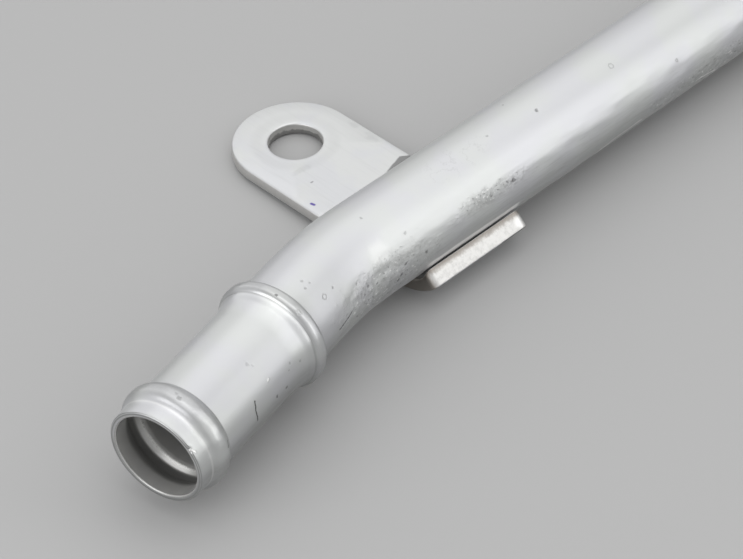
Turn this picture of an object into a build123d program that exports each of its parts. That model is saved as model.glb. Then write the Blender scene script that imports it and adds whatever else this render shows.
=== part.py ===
from build123d import *
import math
import os

# Engine coolant pipe: an aluminium tube with one shallow bend and a rolled hose end at each mouth,
# brazed into the saddle of a stamped bracket that carries one bolt hole. All sizes are in mm.
# The part's origin is the centre of the bolt hole on the bracket's seat, its lower flat face.
# +X runs along the long straight run, away from the bend. +Y runs from the pipe to the bolt hole.

# Tube
tube_diameter = 16.0
tube_wall = 1.0
bend_angle = 12.8
bend_radius = 60.0
front_run = 46.0
rear_run = 132.0
rim_break = 0.3

# Sealing bead, the first from each mouth
collar_length = 2.75
sealing_bead_height = 0.95
sealing_bead_front_slope = 1.15
sealing_bead_crest = 2.0
sealing_bead_rear_slope = 1.0
sealing_bead_root_round = 1.2
sealing_bead_crest_round = 1.6

# Stop bead, the one that the hose is pushed up to, with its long flare in front
neck_length = 17.7
flare_length = 3.4
flare_rise = 0.6
flare_round = 5.0
stop_bead_height = 1.25
stop_bead_front_slope = 0.75
stop_bead_crest = 1.6
stop_bead_rear_slope = 0.6
stop_bead_crest_round = 0.6
hose_end_land = 2.0

# Bracket
strip_width = 20.8
strip_thickness = 2.1
bolt_hole_diameter = 9.0
bolt_hole_to_pipe = 32.7
bend_to_bolt_hole = 22.9
saddle_radius = 11.0
saddle_drop = 1.4
saddle_lip_angle = 47.0
shoulder_radius = 2.8
lip_corner_round = 1.2
edge_break = 0.3

# Braze between tube and saddle
braze_gap = 0.05
braze_reach = 3.5
braze_hollow = 0.05
braze_end_inset = 0.5

# Derived sizes
tube_radius = tube_diameter / 2
bend_tangent = bend_radius * math.tan(math.radians(bend_angle / 2))
saddle_centre = (0, saddle_radius - tube_radius - braze_gap)
seat_to_pipe = tube_radius + braze_gap + strip_thickness - saddle_drop


def offset_corners(corners, distance):
    """Corner points of the same polyline moved sideways, to its right as it is walked."""
    directions = [(b - a).normalized() for a, b in zip(corners, corners[1:])]
    sides = [Vector(d.Y, -d.X) for d in directions]
    moved = [corners[0] + sides[0] * distance]
    for corner, before, after in zip(corners[1:-1], sides, sides[1:]):
        moved.append(corner + (before + after) * (distance / (1 + before.dot(after))))
    moved.append(corners[-1] + sides[-1] * distance)
    return moved


def hose_end_corners():
    """Outer corners of a hose end, from the mouth inwards, as (along, radius, round) values."""
    along = 0.0
    radius = tube_radius
    corners = [(along, radius, 0)]
    steps = [
        (collar_length, 0, sealing_bead_root_round),
        (sealing_bead_front_slope, sealing_bead_height, sealing_bead_crest_round),
        (sealing_bead_crest, 0, sealing_bead_crest_round),
        (sealing_bead_rear_slope, -sealing_bead_height, 0),
        (neck_length, 0, flare_round),
        (flare_length, flare_rise, 0),
        (stop_bead_front_slope, stop_bead_height - flare_rise, stop_bead_crest_round),
        (stop_bead_crest, 0, stop_bead_crest_round),
        (stop_bead_rear_slope, -stop_bead_height, 0),
        (hose_end_land, 0, 0),
    ]
    for step, rise, corner_round in steps:
        along += step
        radius += rise
        corners.append((along, radius, corner_round))
    return corners


def hose_end_length():
    return hose_end_corners()[-1][0]


def hose_end():
    """Rolled end of the tube: the wall keeps its thickness, so each bead is a groove inside."""
    corners = hose_end_corners()
    middle_of_rim, *outer = [Vector(along, radius) for along, radius, _ in corners]
    outer_rounds = [corner_round for _, _, corner_round in corners]
    inner_start, *inner = offset_corners([middle_of_rim, *outer], tube_wall)
    rim = [
        inner_start + Vector(rim_break, 0),
        inner_start + Vector(0, rim_break),
        middle_of_rim - Vector(0, rim_break),
        middle_of_rim + Vector(rim_break, 0),
    ]
    outline = FilletPolyline(
        *rim, *outer, *reversed(inner), radius=[0, 0, 0, *outer_rounds, *[0] * len(inner)], close=True
    )
    return revolve(make_face(outline), Axis.X)


def tube_section():
    """Ring across the tube, standing at the origin and facing along +X."""
    return Plane.YZ * (Circle(tube_radius) - Circle(tube_radius - tube_wall))


def straight_tube(length):
    return extrude(tube_section(), length)


def bent_tube():
    """Bend from the start of the rear run back to the front run, curving towards -Y."""
    hub = Axis((0, -bend_radius, 0), (0, 0, 1))
    return revolve(tube_section(), hub, bend_angle)


def pipe():
    """The whole pipe about the point where its two straight axes would cross."""
    swing = Rot(0, 0, bend_angle)
    front_straight = front_run - bend_tangent - hose_end_length()
    rear_straight = rear_run - bend_tangent - hose_end_length()
    return (
        swing * Pos(-front_run, 0, 0) * hose_end()
        + swing * Pos(-bend_tangent - front_straight, 0, 0) * straight_tube(front_straight)
        + Pos(bend_tangent, 0, 0) * bent_tube()
        + Pos(bend_tangent, 0, 0) * straight_tube(rear_straight)
        + Pos(rear_run, 0, 0) * Rot(0, 0, 180) * hose_end()
    )


def below(centre, radius, degrees):
    """Point on a circle, counted from its lowest point towards the bolt hole."""
    angle = math.radians(degrees)
    return (centre[0] + radius * math.sin(angle), centre[1] - radius * math.cos(angle))


def above(centre, radius, degrees):
    """Point on a circle, counted from its highest point towards the bolt hole."""
    angle = math.radians(degrees)
    return (centre[0] + radius * math.sin(angle), centre[1] + radius * math.cos(angle))


def arc(place, centre, radius, first, last):
    ends = [place(centre, radius, angle) for angle in (first, (first + last) / 2, last)]
    return ThreePointArc(*ends)


def bracket_section():
    """Side view of the strip: lip, saddle under the tube, shoulder, then the flat with the hole."""
    saddle_outer = saddle_radius + strip_thickness
    shoulder_outer = shoulder_radius + strip_thickness
    reach = saddle_radius + shoulder_radius + strip_thickness
    rise_angle = math.degrees(math.acos(1 - saddle_drop / reach))
    flat_top = saddle_centre[1] - saddle_radius + saddle_drop
    flat_start = reach * math.sin(math.radians(rise_angle))
    shoulder_centre = (flat_start, flat_top - shoulder_outer)
    tip = bolt_hole_to_pipe + strip_width / 2
    tip_top = (tip, flat_top)
    tip_bottom = (tip, flat_top - strip_thickness)
    upper = [
        arc(below, saddle_centre, saddle_radius, -saddle_lip_angle, rise_angle),
        arc(above, shoulder_centre, shoulder_outer, -rise_angle, 0),
        Line(above(shoulder_centre, shoulder_outer, 0), tip_top),
    ]
    lower = [
        Line(tip_bottom, above(shoulder_centre, shoulder_radius, 0)),
        arc(above, shoulder_centre, shoulder_radius, 0, -rise_angle),
        arc(below, saddle_centre, saddle_outer, rise_angle, -saddle_lip_angle),
    ]
    lip = Line(lower[-1] @ 1, upper[0] @ 0)
    return Plane.YZ * make_face(upper + [Line(tip_top, tip_bottom)] + lower + [lip])


def lip_corners(strip):
    """The two edges through the thickness at the ends of the lip."""
    return [
        edge
        for edge in strip.edges().filter_by(GeomType.LINE)
        if math.isclose(edge.length, strip_thickness, rel_tol=1e-4) and edge.center().Y < 0
    ]


def rolled_rims(strip):
    """Edges along the faces, without creases and the seat's rim of the hole, which is left sharp."""
    rims = []
    for edge in strip.edges():
        straight = edge.geom_type == GeomType.LINE
        through = straight and math.isclose(edge.length, strip_thickness, rel_tol=1e-4)
        crease = straight and math.isclose(edge.length, strip_width, rel_tol=1e-4)
        if not through and not crease and not is_hole_rim_at_seat(edge):
            rims.append(edge)
    return rims


def is_hole_rim_at_seat(edge):
    rim = 2 * math.pi * bolt_hole_diameter / 2
    return math.isclose(edge.length, rim, rel_tol=1e-4) and math.isclose(
        edge.center().Z, -seat_to_pipe, abs_tol=1e-3
    )


def bracket():
    """Stamped strip with a rounded tip, pressed to a saddle under the tube."""
    strip = extrude(bracket_section(), strip_width / 2, both=True)
    hole_place = Pos(0, bolt_hole_to_pipe, 0)
    strip_length = 2 * (bolt_hole_to_pipe + strip_width)
    tall = 4 * (tube_diameter + strip_thickness)
    outline = hole_place * (
        Circle(strip_width / 2)
        + Rectangle(strip_width, strip_length, align=(Align.CENTER, Align.MAX))
    )
    strip = strip & extrude(outline, tall, both=True)
    strip = fillet(lip_corners(strip), lip_corner_round)
    strip = strip - hole_place * Cylinder(bolt_hole_diameter / 2, tall)
    return Pos(bend_to_bolt_hole, 0, 0) * chamfer(rolled_rims(strip), edge_break)


def braze():
    """Filler drawn into the crevice between tube and saddle, with hollow edges."""
    on_tube = math.degrees(math.asin(braze_reach / tube_radius))
    on_saddle = math.degrees(math.asin(braze_reach / saddle_radius))
    against_tube = arc(below, (0, 0), tube_radius, -on_tube, on_tube)
    against_saddle = arc(below, saddle_centre, saddle_radius, on_saddle, -on_saddle)
    edges = [against_tube, against_saddle]
    for tube_point, saddle_point in (
        (against_tube @ 1, against_saddle @ 0),
        (against_tube @ 0, against_saddle @ 1),
    ):
        middle = (tube_point + saddle_point) / 2
        inwards = Vector(-math.copysign(braze_hollow, middle.X), 0)
        edges.append(ThreePointArc(tube_point, middle + inwards, saddle_point))
    half_length = strip_width / 2 - edge_break - braze_end_inset
    return Pos(bend_to_bolt_hole, 0, 0) * extrude(
        Plane.YZ * make_face(edges), half_length, both=True
    )


def main():
    """Places each piece about the bolt hole's seat and writes it to its own file."""
    os.makedirs("parts", exist_ok=True)
    to_part_frame = Pos(-bend_to_bolt_hole, -bolt_hole_to_pipe, seat_to_pipe)
    pieces = {"pipe": pipe(), "bracket": bracket(), "braze": braze()}
    for name, piece in pieces.items():
        placed = to_part_frame * piece
        export_step(placed, f"parts/{name}.step")
        print(name, "solids", len(placed.solids()), "volume", round(placed.volume, 2))


main()
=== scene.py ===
# %% [markdown]
# # An engine coolant pipe
#
# The object is a drawn aluminium tube with one shallow bend. Each mouth is rolled into a hose end
# with two beads, and a stamped bracket with one bolt hole is brazed under the tube.
# The packed CAD model comes in first, as a frame that never moves. Every piece made here takes its
# place from it, in metres, and rides on its one body.

# %% Load the frame
import math

import bmesh
import bpy
from bmesh.types import BMEdge, BMVert
from mathutils import Matrix, Vector, noise


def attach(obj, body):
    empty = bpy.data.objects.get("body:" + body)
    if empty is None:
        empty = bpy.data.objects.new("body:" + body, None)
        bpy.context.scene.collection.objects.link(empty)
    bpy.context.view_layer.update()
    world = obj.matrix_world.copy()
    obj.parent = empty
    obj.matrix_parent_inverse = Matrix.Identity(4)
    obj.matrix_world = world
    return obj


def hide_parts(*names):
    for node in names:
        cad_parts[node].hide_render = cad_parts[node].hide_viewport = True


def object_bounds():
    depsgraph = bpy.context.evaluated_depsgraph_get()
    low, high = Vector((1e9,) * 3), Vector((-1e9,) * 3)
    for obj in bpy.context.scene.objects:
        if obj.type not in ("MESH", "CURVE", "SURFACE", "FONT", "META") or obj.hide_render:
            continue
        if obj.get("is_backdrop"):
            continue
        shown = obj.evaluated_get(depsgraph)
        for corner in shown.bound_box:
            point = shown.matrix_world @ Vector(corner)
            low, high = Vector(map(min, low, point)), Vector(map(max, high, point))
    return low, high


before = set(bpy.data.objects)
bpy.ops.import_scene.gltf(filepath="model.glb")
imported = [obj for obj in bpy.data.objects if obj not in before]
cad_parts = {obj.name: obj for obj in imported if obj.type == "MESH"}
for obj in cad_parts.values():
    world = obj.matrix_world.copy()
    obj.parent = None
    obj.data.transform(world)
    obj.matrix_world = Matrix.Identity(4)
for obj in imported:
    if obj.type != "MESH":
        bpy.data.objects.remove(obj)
cad_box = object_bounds()
print("CAD nodes:", sorted(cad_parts))

# %% [markdown]
# ## The camera
#
# The camera comes first, so that each piece can be judged in its final view. A long lens from
# well back keeps the tube's sides nearly parallel, as they are in the photo. The turn about the
# line of sight comes last, because that only tilts the picture.

# %% Camera
MM = 0.001  # the shapes are worked out in millimetres, and Blender counts in metres
CAMERA_PLACE = Vector((-243.39, -275.43, 300.91)) * MM
CAMERA_BEARING = 46.739
CAMERA_PITCH = 41.902
CAMERA_ROLL = -2.164
CAMERA_LENS = 140.82


def shown(data):
    """Puts a new object into the scene for a camera, a mesh or a lamp."""
    thing = bpy.data.objects.new(data.name, data)
    bpy.context.scene.collection.objects.link(thing)
    return thing


camera_data = bpy.data.cameras.new("camera")
camera_data.lens = CAMERA_LENS
camera_data.clip_start = 0.01
camera = shown(camera_data)
bearing, pitch, roll = (math.radians(a) for a in (CAMERA_BEARING, CAMERA_PITCH, CAMERA_ROLL))
sight = Vector(
    (math.cos(pitch) * math.cos(bearing), math.cos(pitch) * math.sin(bearing), -math.sin(pitch))
)
level = sight.to_track_quat("-Z", "Y").to_matrix().to_4x4()
camera.matrix_world = Matrix.Translation(CAMERA_PLACE) @ level @ Matrix.Rotation(roll, 4, "Z")
bpy.context.scene.camera = camera
print("camera looks along", [round(v, 3) for v in sight])

# %% [markdown]
# ## The hose end
#
# A hose is pushed over the end of the tube and clamped there. The first bead seals it, and the
# second one, with its long flare, stops it. Rollers press both beads out of the tube from inside,
# so the wall keeps its thickness and each bead leaves a groove in the bore.
# That makes one profile the whole truth about the end. It is drawn as a flat outline with sharp
# corners, each corner is then beveled by its own radius, and a full spin turns it into the tube.

# %% Outline of the hose end
TUBE_RADIUS = 8.0
WALL = 1.0
RIM_ROUND = 0.35
# Each step from the mouth inwards: how far along, how far out, and the round at its far corner.
HOSE_END_STEPS = [
    (2.75, 0, 1.6),  # collar
    (1.15, 0.95, 1.8),  # first bead
    (2.0, 0, 1.6),
    (1.0, -0.95, 0.25),
    (17.75, 0, 12.0),  # neck
    (2.2, 0.25, 2.0),  # flare, which ends in a low ridge of its own
    (0.9, 0.35, 2.8),
    (0.5, 0.08, 0.12),
    (0.45, 0.57, 1.15),  # second bead
    (1.65, 0, 0.75),
    (0.6, -1.25, 0.25),
    (2.0, 0, 0),  # start of the plain tube
]
HOSE_END_LENGTH = sum(step[0] for step in HOSE_END_STEPS)


def walk(steps, start):
    """Corner points of a path that is given step by step."""
    points = [start]
    for along, out, _ in steps:
        points.append(points[-1] + Vector((along, 0, out)))
    return points


def beside(points, gap):
    """The same path, moved over by one gap on the side of the bore."""
    runs = [(b - a).normalized() for a, b in zip(points, points[1:])]
    inward = [Vector((run.z, 0, -run.x)) for run in runs]
    moved = [points[0] + inward[0] * gap]
    for point, before, after in zip(points[1:-1], inward, inward[1:]):
        moved.append(point + (before + after) * (gap / (1 + before.dot(after))))
    return moved + [points[-1] + inward[-1] * gap]


outer_path = walk(HOSE_END_STEPS, Vector((0, 0, TUBE_RADIUS)))
inner_path = beside(outer_path, WALL)
print("hose end is", round(HOSE_END_LENGTH, 2), "mm long, with", len(outer_path), "corners outside")

# %% Round the corners
ARC_STEP = math.radians(9)
LEAST_ROUND = 0.1


def round_corner(bm, vert, radius):
    """Bevels one corner of a flat outline, as far as its radius reaches along both sides."""
    a, b = (edge.other_vert(vert).co - vert.co for edge in vert.link_edges)
    turn = math.pi - a.angle(b)
    bmesh.ops.bevel(
        bm,
        geom=[vert],
        affect="VERTICES",
        offset_type="OFFSET",
        offset=radius * math.tan(turn / 2),
        segments=max(2, round(turn / ARC_STEP)),
        profile=0.5,
        material=-1,
    )


def inner_round(points, i, radius):
    """A bend outwards is wider by one wall on the bore's side, and a bend inwards is tighter."""
    turn = (points[i] - points[i - 1]).cross(points[i + 1] - points[i]).y
    return max(radius + (WALL if turn < 0 else -WALL), LEAST_ROUND)


outer_rounds = [RIM_ROUND] + [step[2] for step in HOSE_END_STEPS]
inner_rounds = [RIM_ROUND] + [
    inner_round(outer_path, i, outer_rounds[i]) for i in range(1, len(outer_path) - 1)
]
print("rounds in the bore:", [round(radius, 2) for radius in inner_rounds])

# %% Spin the hose end
AROUND = 144
COLLAR_CUTS = 4
COLLAR_LINES = (0.8, 2.0)
MERGE_WITHIN = 1e-4


def open_edges(bm):
    return [edge for edge in bm.edges if edge.is_boundary]


def cut_collar(bm):
    """Adds points to the collar's two lines, outside and in the bore, for the nick to move."""
    shortest, longest = COLLAR_LINES
    lines = [
        edge
        for edge in bm.edges
        if shortest < edge.calc_length() < longest and edge.verts[0].co.x < longest
    ]
    bmesh.ops.subdivide_edges(bm, edges=lines, cuts=COLLAR_CUTS)


def make_hose_end():
    """One hose end on the X axis, its mouth at zero, left open where the plain tube starts."""
    bm = bmesh.new()
    outer = [bm.verts.new(point) for point in outer_path]
    inner = [bm.verts.new(point) for point in inner_path]
    bm.faces.new(outer + inner[::-1])
    bm.verts.ensure_lookup_table()
    for vert, radius in [*zip(outer[:-1], outer_rounds), *zip(inner[:-1], inner_rounds)]:
        round_corner(bm, vert, radius)
    cut_collar(bm)
    last = HOSE_END_LENGTH - MERGE_WITHIN
    cut = [edge for edge in bm.edges if all(vert.co.x > last for vert in edge.verts)]
    bmesh.ops.delete(bm, geom=bm.faces[:], context="FACES_ONLY")
    bmesh.ops.delete(bm, geom=cut, context="EDGES")
    bmesh.ops.spin(
        bm,
        geom=bm.verts[:] + bm.edges[:],
        axis=(1, 0, 0),
        cent=(0, 0, 0),
        angle=math.tau,
        steps=AROUND,
        use_merge=True,
    )
    bmesh.ops.remove_doubles(bm, verts=bm.verts[:], dist=MERGE_WITHIN)
    return bm


trial = make_hose_end()
print("hose end has", len(trial.faces), "faces and", len(open_edges(trial)), "open edges")
trial.free()

# %% [markdown]
# ## The whole pipe
#
# The real pipe is one length of tube, so it is one closed mesh here too. The front end is swung
# to its side of the bend, its two open rims are drawn out to the start of the bend, and a part
# spin about the bend's hub carries them round. They are then drawn along the long run to the far
# end, which is the same hose end turned to face away, and a bridge joins the rims.
# The runs are drawn in steps of about a millimetre, because the dents need points to move.

# %% Sizes of the bend and helpers
BEND_ANGLE = math.radians(12.8)
BEND_RADIUS = 60.0
BEND_TANGENT = BEND_RADIUS * math.tan(BEND_ANGLE / 2)
FRONT_RUN = 46.0
REAR_RUN = 132.0
HOLE_FROM_BEND = 22.9
HOLE_FROM_PIPE = 32.7
SEAT_TO_PIPE = 8.75
BEND_PLACE = Vector((-HOLE_FROM_BEND, -HOLE_FROM_PIPE, SEAT_TO_PIPE))
MIDDLE_OF_WALL = TUBE_RADIUS - WALL / 2


def corners_of(edges):
    """Each end of the edges once, in an order that is the same in every run."""
    return list(dict.fromkeys(vert for edge in edges for vert in edge.verts))


def only(kind, items):
    """Picks the corners or the edges out of what an operator has made."""
    return [item for item in items if isinstance(item, kind)]


def draw_out(bm, move, steps):
    """Extrudes the open rims along a move, in equal steps."""
    for _ in range(steps):
        drawn = bmesh.ops.extrude_edge_only(bm, edges=open_edges(bm))["geom"]
        bmesh.ops.translate(bm, vec=move / steps, verts=only(BMVert, drawn))


def bring_in(bm, other):
    """Adds the whole of another bmesh."""
    mesh = bpy.data.meshes.new("other")
    other.to_mesh(mesh)
    other.free()
    bm.from_mesh(mesh)
    bpy.data.meshes.remove(mesh)


print("the bend takes", round(BEND_TANGENT, 2), "mm of each straight run")

# %% Front end, bend and far end
FRONT_STEPS = 10
BEND_STEPS = 20
REAR_STEPS = 96


def make_pipe():
    """The pipe about the point where its two straight axes would cross."""
    bm = make_hose_end()
    bmesh.ops.translate(bm, vec=(-FRONT_RUN, 0, 0), verts=bm.verts[:])
    swing = Matrix.Rotation(BEND_ANGLE, 3, "Z")
    bmesh.ops.rotate(bm, cent=(0, 0, 0), matrix=swing, verts=bm.verts[:])
    front_straight = FRONT_RUN - BEND_TANGENT - HOSE_END_LENGTH
    draw_out(bm, swing @ Vector((front_straight, 0, 0)), FRONT_STEPS)
    rims = open_edges(bm)
    bmesh.ops.spin(
        bm,
        geom=rims + corners_of(rims),
        axis=(0, 0, 1),
        cent=(BEND_TANGENT, -BEND_RADIUS, 0),
        angle=-BEND_ANGLE,
        steps=BEND_STEPS,
    )
    rear_straight = REAR_RUN - BEND_TANGENT - HOSE_END_LENGTH
    share = REAR_STEPS / (REAR_STEPS + 1)
    draw_out(bm, Vector((rear_straight * share, 0, 0)), REAR_STEPS)
    far = make_hose_end()
    turn = Matrix.Rotation(math.pi, 3, "Z")
    bmesh.ops.rotate(far, cent=(0, 0, 0), matrix=turn, verts=far.verts[:])
    bmesh.ops.translate(far, vec=(REAR_RUN, 0, 0), verts=far.verts[:])
    bring_in(bm, far)
    rims = open_edges(bm)
    for outside in (True, False):
        pair = [
            edge
            for edge in rims
            if (math.hypot(edge.verts[0].co.y, edge.verts[0].co.z) > MIDDLE_OF_WALL) == outside
        ]
        bmesh.ops.bridge_loops(bm, edges=pair)
    bmesh.ops.recalc_face_normals(bm, faces=bm.faces[:])
    return bm


pipe_bm = make_pipe()
print("pipe has", len(pipe_bm.faces), "faces and", len(open_edges(pipe_bm)), "open edges")

# %% [markdown]
# ## The straightened pipe
#
# Drawing lines, dents and scratches lie along the tube and round it, also through the bend.
# So each point gets a second place: where it would be if the tube were pulled straight, with the
# middle of the bend at zero. Going round the tube is then an angle, counted from the side that
# faces away from the bolt hole, up over the top.

# %% Places on the straightened pipe
HALF_BEND = BEND_RADIUS * BEND_ANGLE / 2
FRONT_MOUTH = BEND_TANGENT - HALF_BEND - FRONT_RUN
FAR_MOUTH = REAR_RUN - BEND_TANGENT + HALF_BEND
HUB = Vector((BEND_TANGENT, -BEND_RADIUS, 0))
SWING_BACK = Matrix.Rotation(-BEND_ANGLE, 3, "Z")


def straighten(point):
    """Where a point of the pipe would be on a straight tube along X."""
    if point.x >= BEND_TANGENT:
        return Vector((point.x - BEND_TANGENT + HALF_BEND, point.y, point.z))
    swung = SWING_BACK @ point
    if swung.x <= -BEND_TANGENT:
        return Vector((swung.x + BEND_TANGENT - HALF_BEND, swung.y, swung.z))
    spoke = point - HUB
    turned = math.atan2(-spoke.x, spoke.y)
    from_hub = math.hypot(spoke.x, spoke.y)
    return Vector((HALF_BEND - BEND_RADIUS * turned, from_hub - BEND_RADIUS, point.z))


def unroll(straight):
    """How far along the tube and how far round it, from the side that faces away from the hole."""
    return Vector((straight.x, TUBE_RADIUS * math.atan2(straight.z, -straight.y), 0))


lengths = [straighten(vert.co).x for vert in pipe_bm.verts]
print("straight length", round(max(lengths) - min(lengths), 2), "mm")

# %% [markdown]
# ## Dents and a nick
#
# The photo shows a battered patch on the tube beside the bracket, a shorter one past it and
# another at the edge of the tube further back. The whole inner side of the bend lay against the
# bending tool, which left long, faint lumps in it, and something hard has nicked the front rim.
# These are real shapes, so points of the mesh are pushed in, never out, by a smooth noise that
# fades at the edge of each place. The finest pits are left to the material.

# %% Places of the dents
# Each patch: middle as (along, round), half length and half width, and the deepest dent.
BATTERED = [
    ((2.4, 0.3), (15.0, 5.0), 0.16),
    ((26.3, 3.1), (10.3, 1.8), 0.09),
    ((80.0, -1.8), (20.0, 3.2), 0.12),
]
# The first bead was rolled unevenly, which shows in its shape but not in its finish.
UNEVEN_BEAD = ((-41.4, 3.4), (3.0, 7.2), 0.07)
OVAL_EDGE = 2.2
# Where the tool's lumps rise and fade, along the tube and round it.
LUMPS_ALONG = ((-13.0, -5.0), (99.0, 94.0))
LUMPS_ROUND = ((7.0, 4.2), (-16.0, -10.0))


def in_oval(place, middle, halves):
    """1 in the middle of an oval, falling to 0 at its edge."""
    across = [(p - m) / half for p, m, half in zip(place, middle, halves)]
    inside = max(0.0, 1 - math.hypot(*across))
    return min(1.0, OVAL_EDGE * inside)


def rise(value, low, high):
    """Smooth step from 0 at low to 1 at high. Low may be the larger of the two."""
    share = min(1.0, max(0.0, (value - low) / (high - low)))
    return share * share * (3 - 2 * share)


def on_lumpy_side(place):
    """1 on the side that lay against the bending tool, and 0 away from it."""
    lengthwise = rise(place.x, *LUMPS_ALONG[0]) * rise(place.x, *LUMPS_ALONG[1])
    return lengthwise * rise(place.y, *LUMPS_ROUND[0]) * rise(place.y, *LUMPS_ROUND[1])


middles = [Vector(middle) for middle, _, _ in BATTERED]
print("share of lumps in each patch:", [round(on_lumpy_side(middle), 2) for middle in middles])

# %% Push in the dents
LUMP = 1.5
SMALL_LUMP = 0.7
TOOL_LUMP = Vector((4.4, 2.0, 2.0))
TOOL_LUMP_DEPTH = 0.08
NICK_ANGLE = math.radians(37)
NICK_REACH = 0.7
NICK_DEPTH = 0.4
NICK_WAY = (0.8, 0.6)  # along the tube, and towards its axis


def patch_depth(straight, place):
    """How deep the oval patches are at a point."""
    lumps = 0.5 + 0.9 * noise.noise(straight / LUMP) + 0.4 * noise.noise(straight / SMALL_LUMP)
    depth = 0.0
    for middle, halves, most in [*BATTERED, UNEVEN_BEAD]:
        depth += most * in_oval(place, middle, halves) * max(0.0, lumps)
    return depth


def tool_depth(straight, place):
    """How deep the bending tool's long lumps are at a point."""
    shrunk = Vector([value / lump for value, lump in zip(straight, TOOL_LUMP)])
    lumps = 0.6 + noise.noise(shrunk) + 0.5 * noise.noise(shrunk * 2.2)
    return TOOL_LUMP_DEPTH * on_lumpy_side(place) * max(0.0, lumps)


def push_in_dents(bm):
    """Moves the outer points of the tube along their normals, and returns the deepest move."""
    bm.normal_update()
    deepest = 0.0
    for vert in bm.verts:
        straight = straighten(vert.co)
        if math.hypot(straight.y, straight.z) < MIDDLE_OF_WALL:
            continue
        place = unroll(straight)
        depth = patch_depth(straight, place) + tool_depth(straight, place)
        vert.co -= vert.normal * depth
        deepest = max(deepest, depth)
    return deepest


def nick_rim(bm):
    """Bends a short stretch of the front rim inwards and back."""
    swing = Matrix.Rotation(BEND_ANGLE, 3, "Z")
    outward = Vector((0, -math.cos(NICK_ANGLE), math.sin(NICK_ANGLE)))
    place = swing @ (Vector((-FRONT_RUN, 0, 0)) + outward * TUBE_RADIUS)
    inwards = swing @ (Vector((NICK_WAY[0], 0, 0)) - outward * NICK_WAY[1])
    for vert in bm.verts:
        near = max(0.0, 1 - (vert.co - place).length / NICK_REACH)
        vert.co += inwards * NICK_DEPTH * near**1.5


print("deepest dent", round(push_in_dents(pipe_bm), 3), "mm")
nick_rim(pipe_bm)

# %% [markdown]
# ## From a mesh to a piece
#
# A finished mesh is moved to its place in the part and brought to metres. Its object stays at the
# origin, where the frame's own nodes are. Only sharp edges are shaded as edges. The pipe also
# keeps two attributes for its finish: the straightened place of each point in millimetres, and a
# value that is 1 in the bore and 0 outside.

# %% Finish a piece
SHARP_FROM = math.radians(35)
PROBE = 0.1


def finished(bm, name, place, node):
    """Turns a bmesh in millimetres into a smooth piece in the part's frame, on its body."""
    bmesh.ops.translate(bm, vec=place, verts=bm.verts[:])
    bmesh.ops.scale(bm, vec=(MM, MM, MM), verts=bm.verts[:])
    mesh = bpy.data.meshes.new(name)
    bm.to_mesh(mesh)
    closed = all(edge.is_manifold for edge in bm.edges)
    volume = round(bm.calc_volume() / MM**3, 1)
    print(name, len(mesh.polygons), "faces, closed:", closed, "volume:", volume, "mm3")
    bm.free()
    mesh.shade_smooth()
    mesh.set_sharp_from_angle(angle=SHARP_FROM)
    piece = shown(mesh)
    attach(piece, "root")
    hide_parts(node)
    return piece


def keep(mesh, name, kind, field, values):
    """Stores one value or one vector for each point of a mesh."""
    mesh.attributes.new(name, kind, "POINT").data.foreach_set(field, values)


# A point lies in the bore if a small step along its normal brings it nearer to the axis.
pipe_bm.normal_update()
straight_places = [straighten(vert.co) for vert in pipe_bm.verts]
in_bore = []
for vert, straight in zip(pipe_bm.verts, straight_places):
    further = straighten(vert.co + vert.normal * PROBE)
    outwards = math.hypot(further.y, further.z) - math.hypot(straight.y, straight.z)
    in_bore.append(1.0 if outwards < -0.3 * PROBE else 0.0)
tube = finished(pipe_bm, "coolant_tube", BEND_PLACE, "pipe")
flat_list = [value for straight in straight_places for value in straight]
keep(tube.data, "straight", "FLOAT_VECTOR", "vector", flat_list)
keep(tube.data, "bore", "FLOAT", "value", in_bore)
print("points in the bore:", int(sum(in_bore)))

# %% [markdown]
# ## The bracket
#
# The bracket is a strip of sheet with a rounded tip, punched once and pressed into a saddle.
# A press forms it from a flat blank, and it is made the same way here. A ring round the hole is
# pulled out square on the pipe's side, the strip is drawn on from there, and two part spins curl
# it down the shoulder and round the saddle. It gets its thickness only then, as sheet does,
# and a fine bevel takes the sharpness from its rims.

# %% Sizes of the bracket and helpers
STRIP_WIDTH = 20.8
STRIP_THICKNESS = 2.1
HOLE_RADIUS = 4.5
SADDLE_RADIUS = 11.0
SADDLE_DROP = 1.4
LIP_ANGLE = math.radians(47.0)
SHOULDER_RADIUS = 2.8
LIP_CORNER_ROUND = 1.2
BRAZE_GAP = 0.05
SADDLE_RISE = SADDLE_RADIUS - TUBE_RADIUS - BRAZE_GAP
SHOULDER_OUTER = SHOULDER_RADIUS + STRIP_THICKNESS
REACH = SADDLE_RADIUS + SHOULDER_OUTER
RISE_ANGLE = math.acos(1 - SADDLE_DROP / REACH)
FLAT_END = REACH * math.sin(RISE_ANGLE) - HOLE_FROM_PIPE
SHOULDER_CENTRE = Vector((0, FLAT_END, STRIP_THICKNESS - SHOULDER_OUTER))
SADDLE_CENTRE = Vector((0, -HOLE_FROM_PIPE, SEAT_TO_PIPE + SADDLE_RISE))


def draw_edges(bm, edges):
    """Extrudes edges and returns the new ones with their corners."""
    drawn = bmesh.ops.extrude_edge_only(bm, edges=edges)["geom"]
    verts = only(BMVert, drawn)
    return [edge for edge in only(BMEdge, drawn) if set(edge.verts) <= set(verts)], verts


def curl(bm, edges, centre, angle, steps):
    """Carries edges round an axis that runs along X, and returns the last ones."""
    geom = edges + corners_of(edges)
    spun = bmesh.ops.spin(bm, geom=geom, axis=(1, 0, 0), cent=centre, angle=angle, steps=steps)
    return only(BMEdge, spun["geom_last"])


print("the strip's flat part ends", round(-FLAT_END, 2), "mm behind the hole's centre")

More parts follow.
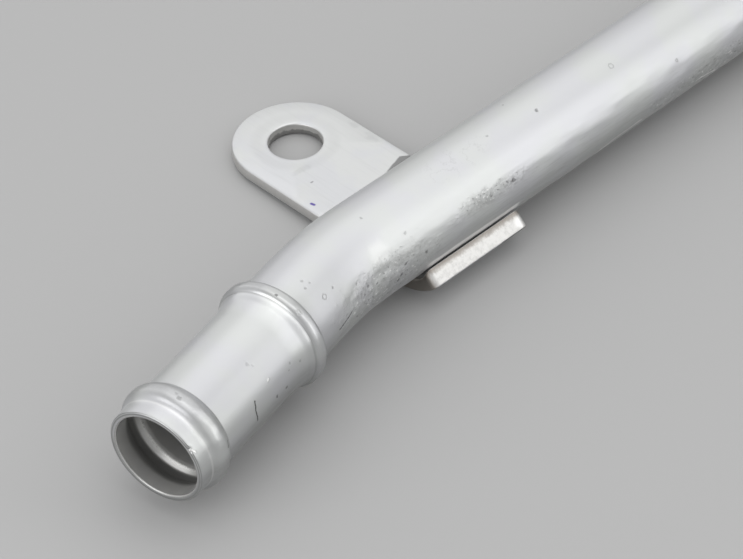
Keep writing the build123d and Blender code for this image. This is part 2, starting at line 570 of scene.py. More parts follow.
# %% Sheet of the bracket
HOLE_SEGMENTS = 96
RINGS_ROUND_HOLE = (HOLE_RADIUS + 0.7, HOLE_RADIUS + 2.5, STRIP_WIDTH / 2)
SHOULDER_STEPS = 10
SADDLE_STEPS = 28
LAST_TURN = LIP_CORNER_ROUND * 1.05 / SADDLE_RADIUS
CLOSE = 0.001


def flat_ring(bm):
    """Rings round the hole, the last one squared off behind. Returns its edge towards the pipe."""
    bmesh.ops.create_circle(bm, radius=HOLE_RADIUS, segments=HOLE_SEGMENTS)
    edges, reach = bm.edges[:], HOLE_RADIUS
    for ring in RINGS_ROUND_HOLE:
        edges, verts = draw_edges(bm, edges)
        bmesh.ops.scale(bm, vec=Vector((1, 1, 1)) * ring / reach, verts=verts)
        reach = ring
    for vert in verts:
        if vert.co.y < 0:
            vert.co *= reach / max(abs(vert.co.x), abs(vert.co.y))
    bmesh.ops.translate(bm, vec=(0, 0, STRIP_THICKNESS), verts=bm.verts[:])
    return [edge for edge in edges if all(vert.co.y < CLOSE - reach for vert in edge.verts)]


def make_sheet():
    """Upper face of the formed strip, with the hole's centre over the origin."""
    bm = bmesh.new()
    reach = STRIP_WIDTH / 2
    edge, verts = draw_edges(bm, flat_ring(bm))
    bmesh.ops.translate(bm, vec=(0, FLAT_END + reach, 0), verts=verts)
    edge = curl(bm, edge, SHOULDER_CENTRE, RISE_ANGLE, SHOULDER_STEPS)
    edge = curl(bm, edge, SADDLE_CENTRE, LAST_TURN - RISE_ANGLE - LIP_ANGLE, SADDLE_STEPS)
    edge = curl(bm, edge, SADDLE_CENTRE, -LAST_TURN, 1)
    for vert in [vert for vert in corners_of(edge) if abs(vert.co.x) > reach - CLOSE]:
        bmesh.ops.bevel(
            bm,
            geom=[vert],
            affect="VERTICES",
            offset=LIP_CORNER_ROUND,
            segments=6,
            profile=0.5,
            material=-1,
        )
    return bm


sheet = make_sheet()
print("sheet has", len(sheet.faces), "faces and rises", round(math.degrees(RISE_ANGLE), 1), "deg")

# %% [markdown]
# A punch shears the edge of a strip, so the cut is rougher and brighter than the rolled face.
# The cut faces get a second material: they are those that stand square to the sheet. The shears
# have also upset the end of the lip, which the photo shows thicker than the rest of the strip.

# %% Thickness, cut edges and rolled rims
EDGE_ROUND = 0.3
LIP_SWELL = 1.1
LIP_SWELL_FROM = LIP_ANGLE - 0.36  # the last 4 mm of the saddle
RIM_FROM = math.radians(50)
MOST_LEAN_OF_CUT = 0.6
ROLLED, CUT = 0, 1


def off_the_sheet(point):
    """The way that the sheet faces at a point: up on the flat, and outwards on its two curls."""
    if point.y > FLAT_END:
        return Vector((0, 0, 1))
    spoke = point - SHOULDER_CENTRE
    if math.atan2(-spoke.y, spoke.z) < RISE_ANGLE:
        return Vector((0, spoke.y, spoke.z)).normalized()
    spoke = point - SADDLE_CENTRE
    return Vector((0, spoke.y, spoke.z)).normalized()


def swell_lip(bm):
    """Thickens the end of the lip on the tube's side."""
    for vert in bm.verts:
        spoke = vert.co - SADDLE_CENTRE
        angle = math.atan2(-spoke.y, -spoke.z)
        inside = math.hypot(spoke.y, spoke.z) < SADDLE_RADIUS + STRIP_THICKNESS / 2
        if angle > LIP_SWELL_FROM and inside:
            near = min(1.0, (angle - LIP_SWELL_FROM) / (LIP_ANGLE - LIP_SWELL_FROM))
            vert.co -= Vector((0, spoke.y, spoke.z)).normalized() * LIP_SWELL * near**2


def make_bracket(bm):
    bmesh.ops.recalc_face_normals(bm, faces=bm.faces[:])
    thickness = STRIP_THICKNESS if bm.faces[0].normal.z > 0 else -STRIP_THICKNESS
    bmesh.ops.solidify(bm, geom=bm.faces[:], thickness=thickness)
    swell_lip(bm)
    bmesh.ops.recalc_face_normals(bm, faces=bm.faces[:])
    rims = [edge for edge in bm.edges if edge.calc_face_angle(0) > RIM_FROM]
    bmesh.ops.bevel(
        bm,
        geom=rims,
        affect="EDGES",
        offset=EDGE_ROUND,
        segments=3,
        profile=0.5,
        material=-1,
    )
    bm.normal_update()
    for face in bm.faces:
        lean = abs(face.normal.dot(off_the_sheet(face.calc_center_median())))
        face.material_index = CUT if lean < MOST_LEAN_OF_CUT else ROLLED
    return bm


bracket_bm = make_bracket(sheet)
print("cut faces:", sum(face.material_index == CUT for face in bracket_bm.faces))
strip = finished(bracket_bm, "stamped_bracket", (0, 0, 0), "bracket")

# %% [markdown]
# ## The braze
#
# Tube and saddle touch along one line, and the filler that melts there is drawn into the narrow
# wedge on both sides of it. Its section is the space between two arcs, one of each part.
# The arcs are part spins of a single point, a bridge fills the space between them, and the
# section is drawn along the saddle. Molten filler wets both walls, so its open sides are hollow.

# %% Braze filler
BRAZE_REACH = 3.5
BRAZE_HOLLOW = 0.05
BRAZE_HALF_LENGTH = STRIP_WIDTH / 2 - 0.8  # it stops short of the strip's edges
BRAZE_STEPS = 24
PIPE_CENTRE = Vector((0, -HOLE_FROM_PIPE, SEAT_TO_PIPE))


def arc_below(bm, centre, radius):
    """Edges of the lower arc round a centre, as wide as the filler reaches."""
    half = math.asin(BRAZE_REACH / radius)
    low = Vector((0, -BRAZE_REACH, -radius * math.cos(half)))
    first = bm.verts.new(centre + low)
    before = set(bm.edges)
    bmesh.ops.spin(
        bm, geom=[first], axis=(1, 0, 0), cent=centre, angle=2 * half, steps=BRAZE_STEPS
    )
    return [edge for edge in bm.edges if edge not in before]


def make_braze():
    bm = bmesh.new()
    arcs = arc_below(bm, PIPE_CENTRE, TUBE_RADIUS) + arc_below(bm, SADDLE_CENTRE, SADDLE_RADIUS)
    bmesh.ops.bridge_loops(bm, edges=arcs)
    bmesh.ops.translate(bm, vec=(-BRAZE_HALF_LENGTH, 0, 0), verts=bm.verts[:])
    drawn = bmesh.ops.extrude_face_region(bm, geom=bm.faces[:])["geom"]
    bmesh.ops.translate(bm, vec=(2 * BRAZE_HALF_LENGTH, 0, 0), verts=only(BMVert, drawn))
    sides = [
        edge
        for edge in bm.edges
        if all(abs(abs(v.co.y + HOLE_FROM_PIPE) - BRAZE_REACH) < CLOSE for v in edge.verts)
        and abs(edge.verts[0].co.x - edge.verts[1].co.x) < CLOSE
    ]
    cut = bmesh.ops.subdivide_edges(bm, edges=sides, cuts=1)["geom_inner"]
    for vert in only(BMVert, cut):
        vert.co.y -= math.copysign(BRAZE_HOLLOW, vert.co.y + HOLE_FROM_PIPE)
    bmesh.ops.recalc_face_normals(bm, faces=bm.faces[:])
    return bm


filler = finished(make_braze(), "braze_filler", (0, 0, 0), "braze")

# %% [markdown]
# ## The floor
#
# The pipe lies as it would come to rest: on the bottom of the saddle, on the last bead of the far
# end and on the bracket's tip. The model keeps the bracket level, so the floor leans instead, by
# a few degrees, through those three places, and is then lowered to the lowest point of the part.

# %% Floor
REST_PLACES = [
    Vector((10.1, -HOLE_FROM_PIPE, -SADDLE_DROP)),  # bottom of the saddle
    Vector((104.2, -HOLE_FROM_PIPE, -0.2)),  # last bead of the far end
    Vector((0, 10.1, 0)),  # tip of the bracket
]
FLOOR_HALF = 1.5

first, second, third = REST_PLACES
floor_up = (second - first).cross(third - first).normalized()
lowest = min(floor_up.dot(v.co) for piece in (tube, strip) for v in piece.data.vertices)
floor_bm = bmesh.new()
bmesh.ops.create_grid(floor_bm, x_segments=1, y_segments=1, size=FLOOR_HALF)
lean = Vector((0, 0, 1)).rotation_difference(floor_up).to_matrix()
bmesh.ops.rotate(floor_bm, cent=(0, 0, 0), matrix=lean, verts=floor_bm.verts[:])
bmesh.ops.translate(floor_bm, vec=floor_up * lowest, verts=floor_bm.verts[:])
floor_mesh = bpy.data.meshes.new("floor")
floor_bm.to_mesh(floor_mesh)
floor_bm.free()
floor = shown(floor_mesh)
floor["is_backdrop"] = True
leaning = math.degrees(floor_up.angle(Vector((0, 0, 1))))
print("floor leans", round(leaning, 2), "deg, and lies", round(-lowest / MM, 2), "mm down")

# %% [markdown]
# ## Writing a finish as a sum
#
# A finish is a tree of nodes, and most of it is arithmetic: masks added, multiplied and faded.
# `Wire` stands for one output of a node, so that such a sum can be written as it is on paper.
# `Recipe` holds the tree, and its `add` makes any node in one call.

# %% Wires
class Wire:
    """An output of a node. Sums and products of wires and numbers add their own Math nodes."""

    def __init__(self, recipe, socket):
        self.recipe, self.socket = recipe, socket

    def math(self, operation, *others):
        inputs = dict(enumerate((self, *others)))
        return self.recipe.add("ShaderNodeMath", {"operation": operation}, inputs)[0]

    def __add__(self, other):
        return self.math("ADD", other)

    def __mul__(self, other):
        return self.math("MULTIPLY", other)

    def __sub__(self, other):
        return self.math("SUBTRACT", other)

    def __rsub__(self, other):
        return self * -1 + other

    def __truediv__(self, other):
        return self.math("DIVIDE", other)

    def __abs__(self):
        return self.math("ABSOLUTE")

    __radd__, __rmul__ = __add__, __mul__

    def least(self, other):
        return self.math("MINIMUM", other)

    def most(self, other):
        return self.math("MAXIMUM", other)

    def fade(self, low, high):
        """Smooth step from 0 at low to 1 at high. Low may be the larger of the two."""
        settings = {"interpolation_type": "SMOOTHSTEP"}
        values = {"Value": self, "From Min": low, "From Max": high}
        return self.recipe.add("ShaderNodeMapRange", settings, values)["Result"]

    def vector(self, operation, *others):
        """A Vector Math node on this wire."""
        inputs = dict(enumerate((self, *others)))
        return self.recipe.add("ShaderNodeVectorMath", {"operation": operation}, inputs)


class Outputs:
    """The outputs of a node, by name or by number."""

    def __init__(self, recipe, node):
        self.recipe, self.node = recipe, node

    def __getitem__(self, key):
        return Wire(self.recipe, self.node.outputs[key])


print("named steps of a wire:", [name for name in vars(Wire) if "__" not in name])

# %% Recipes
class Recipe:
    """The node tree of one material or of the world."""

    def __init__(self, owner):
        owner.use_nodes = True
        self.tree = owner.node_tree
        self.tree.nodes.clear()

    def add(self, kind, settings=None, inputs=None):
        node = self.tree.nodes.new(kind)
        for name, value in (settings or {}).items():
            setattr(node, name, value)
        for key, value in (inputs or {}).items():
            if isinstance(value, Wire):
                self.tree.links.new(value.socket, node.inputs[key])
            else:
                node.inputs[key].default_value = value
        return Outputs(self, node)

    def split(self, vector):
        parts = self.add("ShaderNodeSeparateXYZ", inputs={0: vector})
        return parts[0], parts[1], parts[2]

    def join(self, *parts):
        return self.add("ShaderNodeCombineXYZ", inputs=dict(enumerate(parts)))[0]

    def tint(self, mask, below, above):
        """One colour where the mask is 0, and another where it is 1."""
        inputs = {"Factor": mask, 6: below, 7: above}
        return self.add("ShaderNodeMix", {"data_type": "RGBA"}, inputs)[2]

    def clouds(self, place, scale, detail=2.0, rough=0.5):
        """Smooth noise from 0 to 1, with so many clouds in a unit of its place."""
        inputs = {"Vector": place, "Scale": scale, "Detail": detail, "Roughness": rough}
        return self.add("ShaderNodeTexNoise", inputs=inputs)[0]


def millimetres(recipe):
    """Where a point is on its piece: its Object coordinates, in millimetres."""
    place = recipe.add("ShaderNodeTexCoord")["Object"]
    return place.vector("MULTIPLY", (1 / MM,) * 3)[0]


def finish_metal(recipe, color, rough, relief, bare=1.0):
    """The last nodes of a metal, its relief in millimetres. A dull film makes it less bare."""
    bump = {"Strength": 1.0, "Distance": MM, "Height": relief}
    normal = recipe.add("ShaderNodeBump", inputs=bump)["Normal"]
    inputs = {"Base Color": color, "Metallic": bare, "Roughness": rough, "Normal": normal}
    shader = recipe.add("ShaderNodeBsdfPrincipled", inputs=inputs)
    recipe.add("ShaderNodeOutputMaterial", inputs={"Surface": shader["BSDF"]})
    print("this metal has", len(recipe.tree.nodes), "nodes")


print("steps of a recipe:", [name for name in vars(Recipe) if "__" not in name])

# %% [markdown]
# ## Marks by their place
#
# Dots, rings and scratches are worked out from their distance to a place or to a line. On the
# tube the place is unrolled, so a mark is as round on the bend as on a straight run.

# %% Dots, rings and scratches
SPOT_CORE = 0.35
LINE_CORE = 0.3


def spot(where, place, reach):
    """1 at a place, fading to 0 at its reach."""
    return where.vector("DISTANCE", (*place, 0))["Value"].fade(reach, SPOT_CORE * reach)


def ring(where, place, radius, width):
    """1 on a circle round a place, fading to 0 over its width."""
    gap = where.vector("DISTANCE", (*place, 0))["Value"] - radius
    return abs(gap).fade(width, LINE_CORE * width)


def scratch(where, start, end, width):
    """1 on a straight line between two places, fading to 0 over its width."""
    start, end = Vector((*start, 0)), Vector((*end, 0))
    line = end - start
    offset = where.vector("SUBTRACT", start)[0]
    along = offset.vector("DOT_PRODUCT", line / line.length_squared)["Value"]
    nearest = along.most(0.0).least(1.0)
    settings = {"operation": "SCALE"}
    on_line = where.recipe.add("ShaderNodeVectorMath", settings, {0: line, 3: nearest})[0]
    return offset.vector("DISTANCE", on_line)["Value"].fade(width, LINE_CORE * width)


def oval(where, middle, halves, ragged):
    """1 in the middle of an oval, fading to 0 at its edge, which an added wire makes ragged."""
    offset = where.vector("SUBTRACT", (*middle, 0))[0]
    shrunk = offset.vector("MULTIPLY", (1 / halves[0], 1 / halves[1], 0))[0]
    return (shrunk.vector("LENGTH")["Value"] + ragged).fade(1.05, 0.35)


def strongest(marks):
    """At each point, the strongest of many marks."""
    found = marks[0]
    for mark in marks[1:]:
        found = found.most(mark)
    return found


print("at full strength:", SPOT_CORE, "of a dot's reach and", LINE_CORE, "of a line's width")

# %% [markdown]
# ## The tube's finish
#
# The tube is drawn aluminium, satin from its die and dulled by handling and by years under a
# bonnet. Seen close, it has fine lines along its length, faint clouds and stains and marks from
# tools. Its underside is painted darker as shade, and so are the creases by the beads and the
# groove in the bore. A few pale marks are painted highlights and reflections. The rest of its
# tone is mostly what the metal reflects.

# %% Tube: where each point is
tube_metal = bpy.data.materials.new("satin drawn aluminium")
recipe = Recipe(tube_metal)
straight = recipe.add("ShaderNodeAttribute", {"attribute_name": "straight"})["Vector"]
bore = recipe.add("ShaderNodeAttribute", {"attribute_name": "bore"})["Fac"]
along, across, height = recipe.split(straight)
round_tube = height.math("ARCTAN2", across * -1) * TUBE_RADIUS
unrolled = recipe.join(along, round_tube, 0.0)
from_mouth = (along - FRONT_MOUTH).least(FAR_MOUTH - along)
painted_low_shade = (height / TUBE_RADIUS).fade(0.18, -0.18)
print("the front mouth is at", round(FRONT_MOUTH, 2), "and the far one at", round(FAR_MOUTH, 2))

# %% Tube: lines, clouds and stains
stretched = straight.vector("MULTIPLY", (0.035, 1, 1))[0]
streaks = recipe.clouds(stretched, 1.0, 3.0, 0.65)
fine_lines = recipe.clouds(stretched, 4.0, 2.0, 0.6)
blotches = recipe.clouds(straight, 0.11, 2.0, 0.5)
grain = recipe.clouds(straight, 2.0, 3.0, 0.65)
contours = recipe.clouds(straight, 0.3, 4.0, 0.6)
STAINED = ((25.0, 11.0), (9.0, 3.4))
stains = abs(contours - 0.5).fade(0.022, 0.0) * oval(unrolled, *STAINED, (contours - 0.5) * 2)
print("nodes so far:", len(recipe.tree.nodes))

# %% Tube: battered patches
# The side that lay against the bending tool is also scored along its length.
ragged = (recipe.clouds(straight, 0.5, 3.0, 0.7) - 0.5) * 1.3
battered = strongest([oval(unrolled, middle, halves, ragged) for middle, halves, _ in BATTERED])
facets = recipe.clouds(straight, 0.9, 4.0, 0.75)
flecks = recipe.clouds(straight.vector("MULTIPLY", (0.6, 1, 1))[0], 2.1, 2.0, 0.6)
dark_flecks = flecks.fade(0.63, 0.70) * battered
pale_flecks = flecks.fade(0.38, 0.31) * battered
scored = round_tube.fade(4.6, 1.2) * round_tube.fade(-20.0, -14.0) * along.fade(-13.0, -5.0)
score_lines = recipe.clouds(straight.vector("MULTIPLY", (0.05, 1, 1))[0], 4.2, 3.0, 0.75)
print("battered patches:", len(BATTERED))

# %% Tube: dots, rings and lines
# Places are (along, round) on the unrolled tube. A dot adds its reach and its strength, a ring
# its radius, and a line its other end.
DOTS = [
    ((-11.2, 10.3), 0.36, 0.35), ((-11.9, 9.2), 0.3, 0.35), ((-10.6, 9.2), 0.24, 0.3),
    ((-8.2, 6.3), 0.3, 0.45), ((-3.7, 3.9), 0.34, 0.3), ((5.2, 11.5), 0.3, 0.35),
    ((9.5, 5.7), 0.32, 0.3), ((42.5, 10.1), 0.42, 0.6), ((39.8, 14.9), 0.26, 0.35),
    ((32.3, 11.2), 0.3, 0.35), ((-24.5, -0.1), 0.34, 0.7), ((-27.0, 0.1), 0.36, 0.7),
    ((-41.4, 11.0), 0.5, 0.45), ((-40.9, 11.7), 0.3, 0.3), ((-16.9, 11.2), 0.3, 0.75),
    ((6.7, -0.3), 0.5, 0.7), ((6.1, -1.2), 0.42, 0.6), ((12.2, 0.8), 0.4, 0.6),
    ((31.9, 2.8), 0.5, 0.6), ((30.6, 3.2), 0.32, 0.5), ((-1.5, 2.2), 0.35, 0.5),
    ((-32.0, -0.4), 0.3, 0.7), ((-29.0, 7.7), 0.45, 0.2), ((-28.5, 7.0), 0.3, 0.15),
    ((-22.6, 3.0), 0.3, 0.35), ((-20.6, 1.9), 0.34, 0.3), ((-23.4, 2.2), 0.26, 0.3),
]
RINGS = [((-10.5, 6.2), 0.38), ((-16.8, 7.5), 0.33), ((59.1, 9.4), 0.42), ((70.8, 4.1), 0.22)]
DARK_LINES = [
    ((-31.7, 2.9), (-32.1, 1.4)), ((-32.1, 1.4), (-32.0, -0.4)), ((-39.7, 2.3), (-40.2, 1.4)),
    ((-10.3, -0.1), (-8.7, 0.2)), ((-8.7, 0.2), (-6.7, 0.7)),
]
PALE_LINES = [
    ((-45.75, 5.0), (-45.35, 4.3)), ((-27.75, 3.65), (-27.5, 3.8)), ((51.0, -5.0), (52.6, -3.9)),
    ((52.6, -3.9), (56.9, -3.2)), ((56.9, -3.2), (62.0, -3.0)), ((75.6, -2.8), (77.9, -2.9)),
    ((77.9, -2.9), (80.5, -3.5)),
]
RING_WIDTH, DARK_WIDTH, PALE_WIDTH = 0.14, 0.17, 0.22
# A little noise in the place itself makes dots and lines less regular.
shake = recipe.add("ShaderNodeTexNoise", inputs={"Vector": straight, "Scale": 2.6, "Detail": 1.0})
shake = shake["Color"].vector("SUBTRACT", (0.5, 0.5, 0.5))[0]
shaken = unrolled.vector("ADD", shake.vector("MULTIPLY", (0.5, 0.5, 0))[0])[0]
wavy = unrolled.vector("ADD", shake.vector("MULTIPLY", (0.22, 0.22, 0))[0])[0]
dots = strongest([spot(shaken, place, reach) * depth for place, reach, depth in DOTS])
rings = strongest([ring(shaken, place, radius, RING_WIDTH) for place, radius in RINGS])
dark_lines = strongest([scratch(wavy, *ends, DARK_WIDTH) for ends in DARK_LINES])
pale_lines = strongest([scratch(wavy, *ends, PALE_WIDTH) for ends in PALE_LINES])
print("dots", len(DOTS), "rings", len(RINGS), "lines", len(DARK_LINES) + len(PALE_LINES))

# %% Tube: beads, painted shade and glints, and rims
# Each belt round the tube: middle from the mouth, half width and strength.
SHADED_CREASES = [(6.9, 0.24, 1.0), (28.15, 0.24, 1.0), (31.1, 0.24, 1.0)]
BURNISHED = [(4.9, 2.2, 0.07), (29.2, 2.6, 0.09)]
DARKER_CRESTS = [(4.9, 1.9, 0.5), (29.4, 1.3, 0.45)]
ROOT_GLINT = [(2.6, 0.22, 1.0)]
GLINT_SPOT = ((3.5, 5.3), (3.6, 2.2))
REFLECTION_FROM, REFLECTION_TO, REFLECTION_ROUND = 12.2, 33.8, -3.0
SHADED_GROOVE = 4.2


def belts(rows, core):
    """Belts round both ends of the tube, each at its full strength over the core of its width."""
    return strongest(
        [abs(from_mouth - middle).fade(half, core * half) * gain for middle, half, gain in rows]
    )


# The creases beside the beads are painted darker as shade, and the rollers have burnished the
# beads themselves.
crease_shade = belts(SHADED_CREASES, 0.21)
burnished = belts(BURNISHED, 0.6)
# A pale line at the first bead's root is a painted highlight.
root_glint = belts(ROOT_GLINT, 0.36)
# Both crests are painted darker on top, in mottled patches.
darker_crest_tops = belts(DARKER_CRESTS, 0.4) * round_tube.fade(2.0, 9.0) * (0.7 + 0.6 * grain) * (1 - bore)
# One spot at the bend is painted paler than the rest: a painted highlight.
pale_spot = oval(unrolled, *GLINT_SPOT, (contours - 0.5) * 1.5)
# A pale line along the saddle's lip is a painted reflection of the lip in the tube.
beside_lip = (along - REFLECTION_FROM).least(REFLECTION_TO - along).fade(0.0, 1.6)
lip_reflection = abs(round_tube - REFLECTION_ROUND + 0.5 * (contours - 0.5)).fade(0.95, 0.4) * beside_lip
# The groove that the first bead leaves in the bore is painted dark as shade.
groove_shade = bore * abs(from_mouth - SHADED_GROOVE).fade(2.0, 1.0)
# Each rim was cut on a lathe, which leaves rings on its face.
rim = from_mouth.fade(RIM_ROUND, 0.2)
radius = recipe.join(0.0, across, height).vector("LENGTH")["Value"]
turned_lines = recipe.clouds(recipe.join(radius, 0.0, 0.0), 4.0, 1.0)
print("belts:", len(SHADED_CREASES + BURNISHED + DARKER_CRESTS + ROOT_GLINT))

# %% Tube: colour
LAVENDER_GREY = (0.600, 0.605, 0.622, 1)
GREEN_GREY = (0.606, 0.618, 0.612, 1)
GRIME_AND_SHADE = (0.36, 0.365, 0.36, 1)
DARK_PIT_AND_SHADE = (0.12, 0.12, 0.12, 1)
BARE_METAL_AND_GLINT = (0.84, 0.84, 0.83, 1)
OXIDE = (0.50, 0.495, 0.48, 1)
PAINTED_PALE_GREY = (0.74, 0.735, 0.72, 1)

color = recipe.tint(blotches.fade(0.38, 0.62), LAVENDER_GREY, GREEN_GREY)
front_side = along.fade(-14.0, -26.0)
# The underside is painted darker as shade, more at the front and in streaks.
color = recipe.tint(painted_low_shade * (0.1 + 0.5 * streaks + 0.25 * front_side), color, GRIME_AND_SHADE)
color = recipe.tint(scored * score_lines.fade(0.46, 0.70) * 0.26, color, GRIME_AND_SHADE)
color = recipe.tint(battered * facets.fade(0.40, 0.70) * 0.55, color, GRIME_AND_SHADE)
pale_facets = battered * facets.fade(0.42, 0.3) * 0.4
color = recipe.tint(strongest([pale_facets, pale_flecks * 0.8]), color, BARE_METAL_AND_GLINT)
color = recipe.tint(stains * 0.22, color, GRIME_AND_SHADE)
color = recipe.tint(strongest([crease_shade * 0.5, darker_crest_tops]), color, GRIME_AND_SHADE)
color = recipe.tint(bore * 0.7, color, OXIDE)
color = recipe.tint(groove_shade * 0.4, color, DARK_PIT_AND_SHADE)
color = recipe.tint(rim * turned_lines.fade(0.5, 0.56) * 0.9, color, GRIME_AND_SHADE)
# Painted highlights: the pale line at the first bead's root and the pale spot at the bend.
painted_glints = strongest([root_glint * 0.35, pale_spot * 0.25]) * (1 - bore)
color = recipe.tint(painted_glints, color, BARE_METAL_AND_GLINT)
color = recipe.tint(lip_reflection * 0.85, color, PAINTED_PALE_GREY)
color = recipe.tint(rings * 0.55, color, GRIME_AND_SHADE)
color = recipe.tint(pale_lines * 0.9, color, BARE_METAL_AND_GLINT)
color = recipe.tint(strongest([dark_flecks * 0.6, dots, dark_lines]), color, DARK_PIT_AND_SHADE)
print("nodes by now:", len(recipe.tree.nodes))

# %% Tube: roughness, relief and films
rough = (
    0.36 + 0.08 * streaks + 0.13 * scored + 0.06 * battered - burnished - 0.06 * bore
    - 0.08 * pale_lines - 0.10 * rim + 0.15 * groove_shade
)
relief = (
    (0.003 * fine_lines + 0.005 * streaks + 0.002 * grain) * (1 - 0.85 * bore)
    + scored * (0.010 * score_lines + 0.03 * facets)
    + 0.15 * battered * facets
    - 0.05 * dark_flecks
    - 0.08 * dots
    - 0.03 * rings
    - 0.06 * dark_lines
    + 0.04 * pale_lines
    + 0.06 * rim * turned_lines
)
# Old coolant has left a film in the bore, and the painted reflection beside the lip is less
# metallic too.
bore_film = 0.5 * bore * from_mouth.fade(18.0, 7.0) * (1 - 0.5 * groove_shade)
bare = 1 - strongest([bore_film, 0.8 * lip_reflection])
finish_metal(recipe, color, rough, relief, bare)
tube.data.materials.append(tube_metal)

# %% [markdown]
# ## The bracket's finish
#
# The strip is rolled sheet, so its faces have a closer, flatter sheen than the tube. Its cut
# edges are sheared: short lines run across the thickness. Fingers and oil have left faint
# smudges, and a speck of marking ink sits near one edge.

# %% Bracket: marks on the rolled faces
def from_saddle_axis(recipe, y, z):
    """Distance to the axis of the saddle's curl, which tells its two faces apart."""
    offset = recipe.join(0.0, y + HOLE_FROM_PIPE, z - SADDLE_CENTRE.z)
    return offset.vector("LENGTH")["Value"]


rolled_metal = bpy.data.materials.new("rolled aluminium sheet")
recipe = Recipe(rolled_metal)
place = millimetres(recipe)
x, y, z = recipe.split(place)
on_top = z.fade(STRIP_THICKNESS - 0.15, STRIP_THICKNESS - 0.05)
flat = recipe.join(x, y, 0.0)
sheet_lines = recipe.clouds(place.vector("MULTIPLY", (1, 0.06, 1))[0], 2.2, 3.0, 0.6)
sheet_clouds = recipe.clouds(place, 0.16, 3.0, 0.5)
fine_grain = recipe.clouds(place, 2.4, 3.0, 0.6)
ragged = (recipe.clouds(place, 0.5, 3.0, 0.6) - 0.5) * 1.6
SMUDGES = [((-4.3, -6.0), (2.6, 0.9)), ((9.2, -8.4), (1.2, 2.2)), ((9.5, -3.6), (0.8, 1.6))]
WASHER_RADIUS = 6.4
CHIP = ((-5.3, -9.4), (0.42, 0.22))
INK_LINE = ((-9.08, -13.2), (-8.97, -13.7))
smudges = strongest([oval(flat, *smudge, ragged) for smudge in SMUDGES])
washer = abs(flat.vector("LENGTH")["Value"] + ragged * 0.5 - WASHER_RADIUS).fade(1.5, 0.2)
chip = oval(flat, *CHIP, ragged * 0.3)
# A wedge between the tube and the strip's edge is painted dark as shade between the two parts.
# Each side of the wedge is a line through one place, and counts from 0 there into the wedge.
towards_hole = 0.285 * (x - 4.9) - 0.958 * (y + 16.1)
towards_edge = -0.596 * (x - 8.9) - 0.803 * (y + 14.9)
painted_wedge_shade = (towards_hole.least(towards_edge) + ragged * 0.25).fade(-0.05, 0.25) * x.fade(4.0, 5.0)
ink = scratch(flat, *INK_LINE, 0.36)
# The inside of the saddle is painted pale and made less metallic: painted light in the crevice
# under the tube.
painted_saddle_light = from_saddle_axis(recipe, y, z).fade(SADDLE_RADIUS + 0.3, SADDLE_RADIUS + 0.1)
print("smudges", len(SMUDGES))

# %% Bracket: rolled faces
SHEET_GREY = (0.61, 0.617, 0.63, 1)
SHEET_PALE = (0.625, 0.633, 0.63, 1)
INK = (0.10, 0.06, 0.34, 1)
SMOKE_AND_SHADE = (0.27, 0.24, 0.21, 1)
color = recipe.tint(sheet_clouds.fade(0.4, 0.6), SHEET_GREY, SHEET_PALE)
color = recipe.tint(sheet_lines.fade(0.5, 0.8) * 0.12, color, GRIME_AND_SHADE)
color = recipe.tint(on_top * strongest([smudges * 0.16, washer * 0.1]), color, GRIME_AND_SHADE)
color = recipe.tint(on_top * strongest([chip * 0.5, painted_wedge_shade * 0.75]), color, DARK_PIT_AND_SHADE)
color = recipe.tint(on_top * ink * 0.9, color, INK)
color = recipe.tint(painted_saddle_light, color, PAINTED_PALE_GREY)
# The strip's end under the tube, at the left, is painted dark brown as shade.
color = recipe.tint(y.fade(-33.0, -36.0) * x.fade(-9.3, -10.0) * 0.8, color, SMOKE_AND_SHADE)
rough = 0.42 + 0.08 * sheet_lines + 0.08 * smudges + 0.1 * ink
relief = 0.003 * sheet_lines + 0.003 * fine_grain - 0.03 * chip * on_top
finish_metal(recipe, color, rough + 0.1 * painted_saddle_light, relief, 1 - 0.85 * painted_saddle_light)
strip.data.materials.append(rolled_metal)

# %% Bracket: cut edges
cut_metal = bpy.data.materials.new("sheared aluminium edge")
recipe = Recipe(cut_metal)
place = millimetres(recipe)
x, y, z = recipe.split(place)
shear_lines = recipe.clouds(place.vector("MULTIPLY", (1, 1, 0.2))[0], 3.0, 3.0, 0.7)
torn = recipe.clouds(place, 1.2, 4.0, 0.7)
EDGE_GREY = (0.60, 0.595, 0.58, 1)
EDGE_PALE = (0.72, 0.715, 0.70, 1)
# A punch cuts cleanly for half of the thickness, and below that the wall of the hole is torn.
from_hole = recipe.join(x, y, 0.0).vector("LENGTH")["Value"]
hole_wall = from_hole.fade(HOLE_RADIUS + 1.5, HOLE_RADIUS + 1.0)
torn_zone = hole_wall * (z + (torn - 0.5) * 1.2).fade(1.1, 0.8)
# The lip's sheared face is brown along its edge on the tube's side, from smoke and burnt flux.
lip = y.fade(-38.0, -39.0)
browned = lip * (from_saddle_axis(recipe, y, z) + torn * 0.8).fade(11.6, 10.7)
pale_spot = place.vector("DISTANCE", (9.2, -41.4, 3.6))["Value"].fade(1.3, 0.5)
# The same end is painted dark brown as shade on its cut faces too.
shaded_left_end = y.fade(-33.0, -36.0) * x.fade(-9.7, -10.3)
# Torn patches are paler, and much more so on the lip, whose face is painted paler as light.
color = recipe.tint(torn.fade(0.3, 0.6) * (0.35 + 0.65 * lip), EDGE_GREY, EDGE_PALE)
color = recipe.tint(pale_spot * 0.8, color, BARE_METAL_AND_GLINT)
color = recipe.tint(browned * 0.8, color, SMOKE_AND_SHADE)
color = recipe.tint(torn_zone * 0.55, color, DARK_PIT_AND_SHADE)
color = recipe.tint(shaded_left_end * 0.8, color, SMOKE_AND_SHADE)
rough = 0.42 + 0.12 * shear_lines - 0.08 * pale_spot
relief = 0.005 * shear_lines + (0.006 + 0.014 * lip) * torn + 0.03 * torn_zone * torn
finish_metal(recipe, color, rough, relief)
strip.data.materials.append(cut_metal)
print("bracket's materials:", [material.name for material in strip.data.materials])

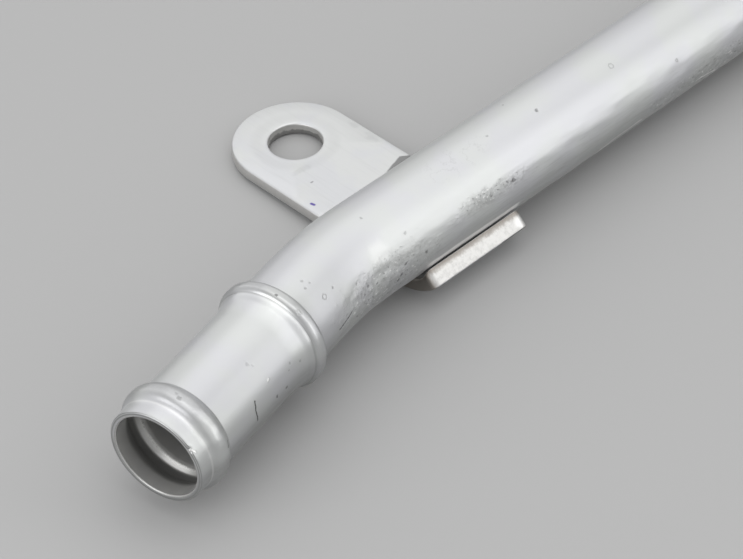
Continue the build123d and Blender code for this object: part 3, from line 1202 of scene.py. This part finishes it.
# %% [markdown]
# ## Braze and floor
#
# Braze freezes with a dull, slightly grainy skin. The floor is a plain pale board with no shine.

# %% Braze and floor
braze_metal = bpy.data.materials.new("dull braze")
recipe = Recipe(braze_metal)
BRAZE_DARK = (0.36, 0.355, 0.34, 1)
BRAZE_PALE = (0.52, 0.52, 0.50, 1)
ripples = recipe.clouds(millimetres(recipe), 1.0, 4.0, 0.6)
color = recipe.tint(ripples.fade(0.35, 0.65), BRAZE_DARK, BRAZE_PALE)
finish_metal(recipe, color, 0.5 + 0.15 * ripples, 0.02 * ripples)
filler.data.materials.append(braze_metal)

FLOOR_TONE = 0.41
floor_paint = bpy.data.materials.new("pale floor")
recipe = Recipe(floor_paint)
shader = recipe.add(
    "ShaderNodeBsdfPrincipled",
    inputs={"Base Color": (FLOOR_TONE,) * 3 + (1,), "Roughness": 1.0, "Specular IOR Level": 0.0},
)
recipe.add("ShaderNodeOutputMaterial", inputs={"Surface": shader["BSDF"]})
floor.data.materials.append(floor_paint)
print("floor tone", FLOOR_TONE)

# %% [markdown]
# ## Light
#
# The photo was taken in plain room light: bright and even from above, with stronger sources on
# the far side and on the left, and smaller ones on the right, whose glints sit on the beads.
# Six soft boxes and a pale sky stand for them. The sky is brightest in a band that passes
# overhead, and on the far side.

# %% Lamps and sky
def soft_box(name, place, size, watts):
    """A square lamp that faces the part."""
    data = bpy.data.lights.new(name, "AREA")
    data.shape = "SQUARE"
    data.size = size
    data.energy = watts
    place = Vector(place)
    facing = (-place).to_track_quat("-Z", "Y").to_matrix().to_4x4()
    shown(data).matrix_world = Matrix.Translation(place) @ facing


soft_box("key light", (0.5, 0.25, 1.1), 1.2, 2.1)
soft_box("ceiling light", (0.0, -0.2, 1.1), 0.8, 1.3)
soft_box("left light", (-0.85, 0.0, 0.4), 0.9, 4.0)
soft_box("high right light", (0.5, -0.6, 0.9), 0.6, 1.0)
soft_box("low right light", (0.55, -0.85, 0.12), 0.45, 0.75)
soft_box("small right light", (0.55, -0.75, 0.5), 0.4, 0.5)
world = bpy.data.worlds.new("sky")
bpy.context.scene.world = world
recipe = Recipe(world)
x, y, z = recipe.split(recipe.add("ShaderNodeTexCoord")["Generated"])
glow = 0.83 * x.fade(-0.4, 0.5) + 0.28 * y.fade(-0.2, 0.8) + 0.75 * x.fade(0.5, 0.1)
background = recipe.add("ShaderNodeBackground", inputs={"Strength": glow})
recipe.add("ShaderNodeOutputWorld", inputs={"Surface": background[0]})
bpy.context.scene.view_settings.view_transform = "Standard"

# %% [markdown]
# ## Sizes
#
# The box of the visual model is measured against the box of the CAD model, and the largest gap
# between them is printed.

# %% Measure the two boxes and finish
visual_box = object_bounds()
gaps = [abs(a - b) / MM for c, v in zip(cad_box, visual_box) for a, b in zip(c, v)]
print("the boxes differ by at most", round(max(gaps), 3), "mm")
